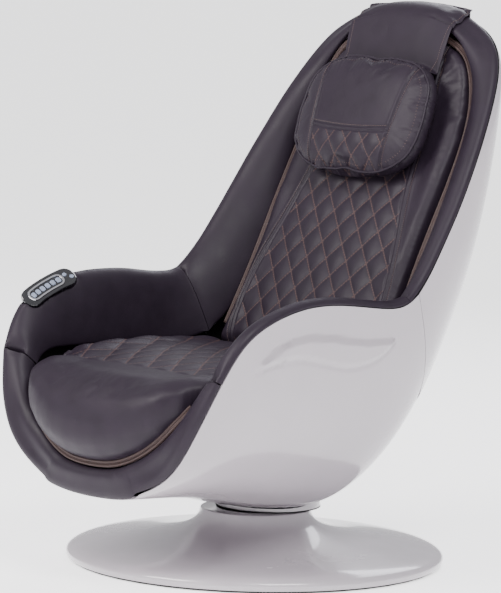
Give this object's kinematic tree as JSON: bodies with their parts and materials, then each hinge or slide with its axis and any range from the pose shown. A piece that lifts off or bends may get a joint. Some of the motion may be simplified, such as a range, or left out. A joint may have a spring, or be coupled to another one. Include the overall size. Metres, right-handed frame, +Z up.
{
  "type": "massage chair",
  "caption": "Swivel massage lounge chair: white bucket shell on a trumpet disc base, padded surround, quilted seat and back, head pillow, arm control panel.",
  "frame": {"origin": "on the floor under the middle of the chair's outer box", "axes": "+Z up, the sitter faces -Y, +X is the sitter's left"},
  "size_m": [0.712, 0.8901, 1.0433],
  "materials": {
    "gloss_white_shell": "gloss moulded",
    "gloss_white_base": "gloss moulded",
    "dark_leather": "soft coated leather",
    "quilted_leather": "quilted leather",
    "brown_zip_tape": "woven tape",
    "black_gloss_plastic": "gloss",
    "chrome_trim": "bright plated",
    "button_plastic": "satin",
    "steel_plate": "powder coated",
    "steel_frame": "powder coated",
    "bright_steel": "ground",
    "black_rubber": "moulded",
    "grey_plastic": "moulded",
    "roller_plastic": "moulded",
    "motor_case": "die cast",
    "board_ply": "sanded ply"
  },
  "bodies": {
    "base": {"base_cover": "gloss_white_base", "base_plate": "steel_plate", "foot_ring": "black_rubber", "swivel_post": "steel_plate", "swivel_bush": "grey_plastic", "neck_gasket": "black_rubber"},
    "seat": {"swivel_collar": "gloss_white_shell", "shell_side_left": "gloss_white_shell", "shell_side_right": "gloss_white_shell", "shell_back": "gloss_white_shell", "shell_wing_left": "gloss_white_shell", "shell_wing_right": "gloss_white_shell", "surround_front": "dark_leather", "surround_arm_left": "dark_leather", "surround_arm_right": "dark_leather", "surround_back": "dark_leather", "swivel_hub": "steel_plate", "seat_frame": "steel_frame", "seat_board": "board_ply", "back_frame": "steel_frame", "guide_rail_left": "bright_steel", "guide_rail_right": "bright_steel", "lift_motor": "motor_case", "control_box": "grey_plastic", "power_supply": "black_gloss_plastic", "seat_cushion": "quilted_leather", "back_pad": "quilted_leather", "back_zip_band": "brown_zip_tape", "seat_zip_band": "brown_zip_tape", "panel_housing": "black_gloss_plastic", "panel_ring": "chrome_trim", "power_inlet": "black_gloss_plastic"},
    "carriage": {"massage_carriage": "grey_plastic", "knead_motor": "motor_case"},
    "lift_screw": {"lead_screw": "bright_steel"},
    "rock_arm_left": {"roller_arm_left": "motor_case"},
    "rock_arm_right": {"roller_arm_right": "motor_case"},
    "power_rocker": {"rocker_switch": "black_gloss_plastic"},
    "pillow": {"head_pillow": "quilted_leather", "pillow_flap": "dark_leather"},
    "wheel_left_low": {"roller_left_low": "roller_plastic"},
    "wheel_left_high": {"roller_left_high": "roller_plastic"},
    "wheel_right_low": {"roller_right_low": "roller_plastic"},
    "wheel_right_high": {"roller_right_high": "roller_plastic"},
    "panel_button_1_cap": {"panel_button_1": "button_plastic"},
    "panel_button_2_cap": {"panel_button_2": "button_plastic"},
    "panel_button_3_cap": {"panel_button_3": "button_plastic"},
    "panel_button_4_cap": {"panel_button_4": "button_plastic"},
    "panel_button_5_cap": {"panel_button_5": "button_plastic"},
    "panel_button_6_cap": {"panel_button_6": "button_plastic"},
    "panel_key_1_cap": {"panel_key_1": "button_plastic"},
    "panel_key_2_cap": {"panel_key_2": "button_plastic"}
  },
  "joints": [
    {"name": "swivel", "type": "hinge", "parent": "base", "child": "seat", "pos_m": [0, 0.0405, 0.0995], "axis": [0, 0, 1], "continuous": true},
    {"name": "pillow_lift", "type": "hinge", "parent": "seat", "child": "pillow", "pos_m": [0, 0.4405, 1.034], "axis": [-1, 0, 0], "range_deg": [0, 110]},
    {"name": "carriage_lift", "type": "slide", "parent": "seat", "child": "carriage", "axis": [0, 0.4664, 0.8846], "range_m": [-0.1, 0.11]},
    {"name": "screw_turn", "type": "hinge", "parent": "seat", "child": "lift_screw", "pos_m": [0, 0.27236, 0.52385], "axis": [0, 0.4664, 0.8846], "range_deg": [-1800.5, 1980.5]},
    {"name": "arm_rock_left", "type": "hinge", "parent": "carriage", "child": "rock_arm_left", "pos_m": [0.058, 0.26279, 0.52607], "axis": [1, 0, 0], "range_deg": [-7, 7]},
    {"name": "arm_rock_right", "type": "hinge", "parent": "carriage", "child": "rock_arm_right", "pos_m": [-0.058, 0.26279, 0.52607], "axis": [1, 0, 0], "range_deg": [-7, 7]},
    {"name": "roll_left_low", "type": "hinge", "parent": "rock_arm_left", "child": "wheel_left_low", "pos_m": [0.0745, 0.22994, 0.47556], "axis": [1, 0, 0], "continuous": true},
    {"name": "roll_left_high", "type": "hinge", "parent": "rock_arm_left", "child": "wheel_left_high", "pos_m": [0.0745, 0.28591, 0.58171], "axis": [1, 0, 0], "continuous": true},
    {"name": "roll_right_low", "type": "hinge", "parent": "rock_arm_right", "child": "wheel_right_low", "pos_m": [-0.0745, 0.22994, 0.47556], "axis": [1, 0, 0], "continuous": true},
    {"name": "roll_right_high", "type": "hinge", "parent": "rock_arm_right", "child": "wheel_right_high", "pos_m": [-0.0745, 0.28591, 0.58171], "axis": [1, 0, 0], "continuous": true},
    {"name": "press_button_1", "type": "slide", "parent": "seat", "child": "panel_button_1_cap", "axis": [-0.6862, 0.3432, -0.6413], "range_m": [0, 0.0018], "stiffness_N_per_m": 300, "springref_m": -0.001},
    {"name": "press_button_2", "type": "slide", "parent": "seat", "child": "panel_button_2_cap", "axis": [-0.6856, 0.3098, -0.6587], "range_m": [0, 0.0018], "stiffness_N_per_m": 300, "springref_m": -0.001},
    {"name": "press_button_3", "type": "slide", "parent": "seat", "child": "panel_button_3_cap", "axis": [-0.6855, 0.2812, -0.6716], "range_m": [0, 0.0018], "stiffness_N_per_m": 300, "springref_m": -0.001},
    {"name": "press_button_4", "type": "slide", "parent": "seat", "child": "panel_button_4_cap", "axis": [-0.6855, 0.2559, -0.6816], "range_m": [0, 0.0018], "stiffness_N_per_m": 300, "springref_m": -0.001},
    {"name": "press_button_5", "type": "slide", "parent": "seat", "child": "panel_button_5_cap", "axis": [-0.6855, 0.2317, -0.6902], "range_m": [0, 0.0018], "stiffness_N_per_m": 300, "springref_m": -0.001},
    {"name": "press_button_6", "type": "slide", "parent": "seat", "child": "panel_button_6_cap", "axis": [-0.6856, 0.2075, -0.6978], "range_m": [0, 0.0018], "stiffness_N_per_m": 300, "springref_m": -0.001},
    {"name": "press_key_1", "type": "slide", "parent": "seat", "child": "panel_key_1_cap", "axis": [-0.6857, 0.1747, -0.7066], "range_m": [0, 0.0018], "stiffness_N_per_m": 300, "springref_m": -0.001},
    {"name": "press_key_2", "type": "slide", "parent": "seat", "child": "panel_key_2_cap", "axis": [-0.6858, 0.1536, -0.7114], "range_m": [0, 0.0018], "stiffness_N_per_m": 300, "springref_m": -0.001},
    {"name": "rocker_tip", "type": "hinge", "parent": "seat", "child": "power_rocker", "pos_m": [-0.01853, 0.26118, 0.32412], "axis": [0, -0.5235, -0.852], "range_deg": [0, 17]}
  ],
  "couplings": [
    {"joint": "screw_turn", "follows": "carriage_lift", "rad_per_m": 314.16},
    {"joint": "arm_rock_right", "follows": "arm_rock_left", "ratio": -1}
  ]
}
